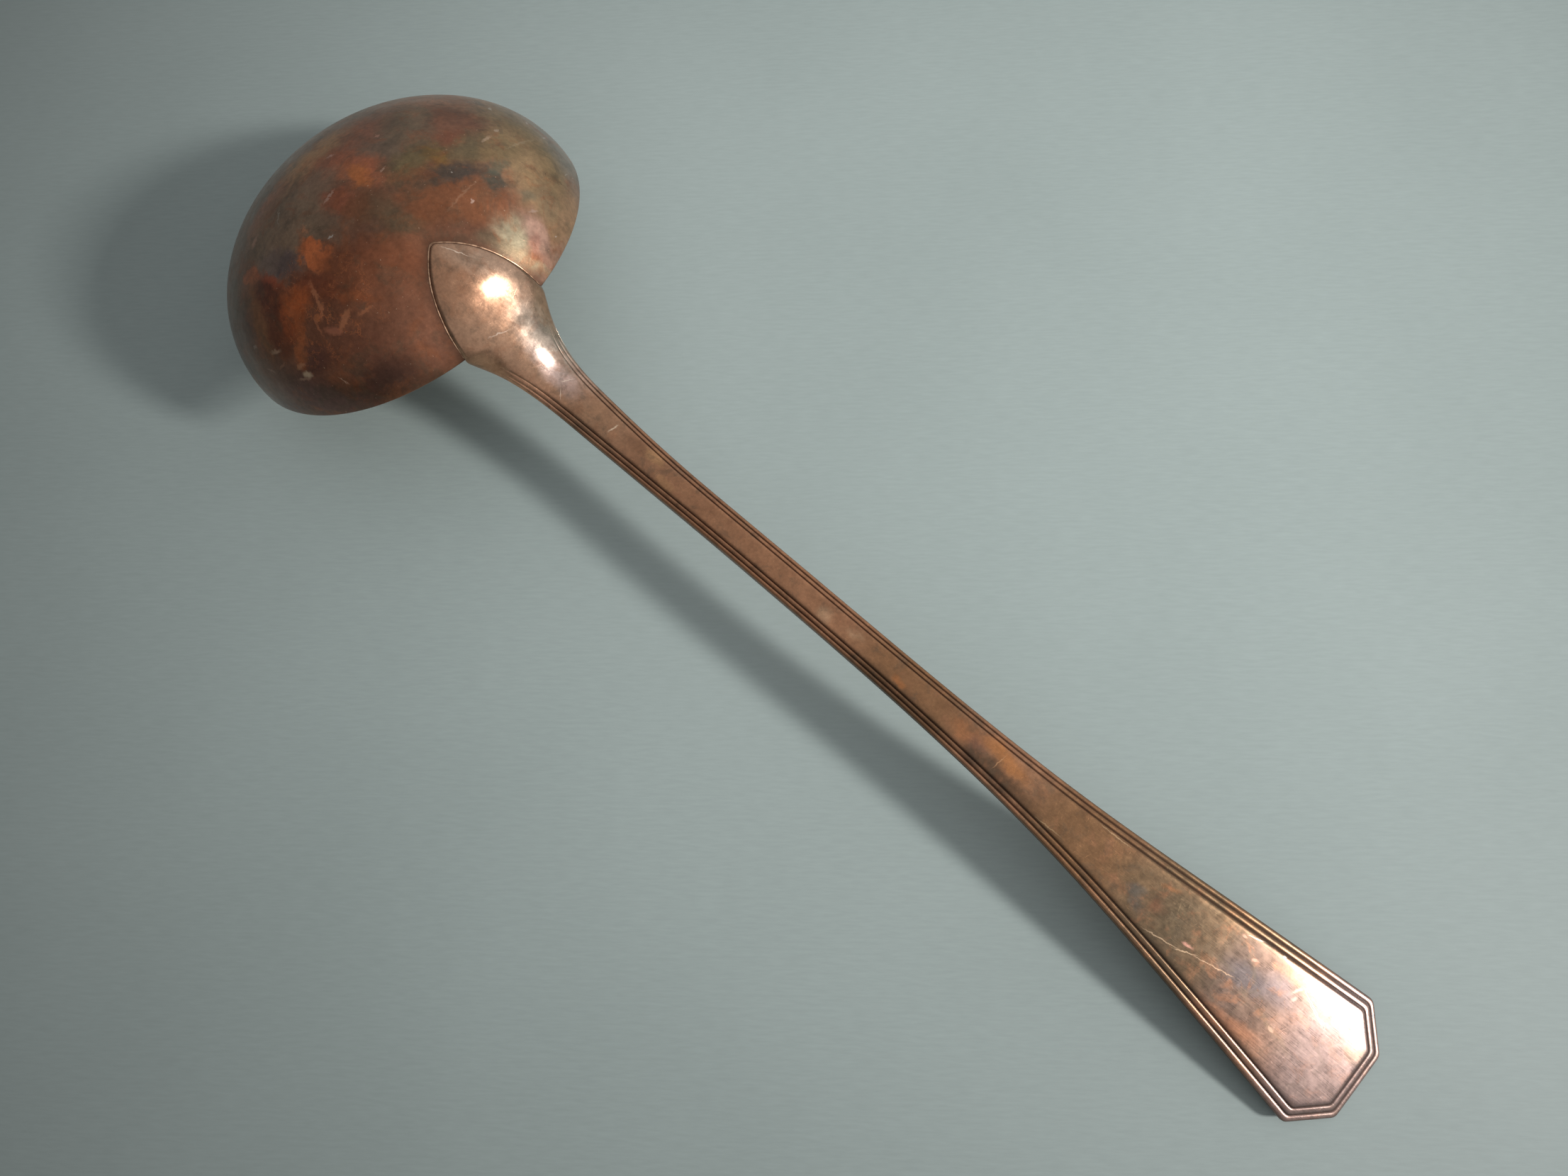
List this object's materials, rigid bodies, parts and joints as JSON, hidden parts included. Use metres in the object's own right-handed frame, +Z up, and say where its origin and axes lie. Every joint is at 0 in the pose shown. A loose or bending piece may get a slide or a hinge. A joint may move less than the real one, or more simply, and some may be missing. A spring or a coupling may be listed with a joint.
{
  "type": "soup ladle",
  "caption": "Round deep-bowled serving ladle lying face down: pressed bowl, soldered heel, long flared handle with a clipped end and a double line border.",
  "frame": {"origin": "bottom centre of the whole, on the table that the ladle lies on face down", "axes": "+X from the bowl to the end of the handle, +Z up, away from the table; the XZ plane is the plane of symmetry"},
  "size_m": [0.33, 0.0954, 0.0565],
  "materials": {
    "bowl_metal": "tarnished silver plate worn through to copper, satin",
    "handle_metal": "tarnished silver plate worn through to copper, fine brushed scratches",
    "solder": "dull hard solder"
  },
  "bodies": {
    "root": {"bowl": "bowl_metal", "handle": "handle_metal", "solder_joint": "solder"}
  },
  "joints": []
}
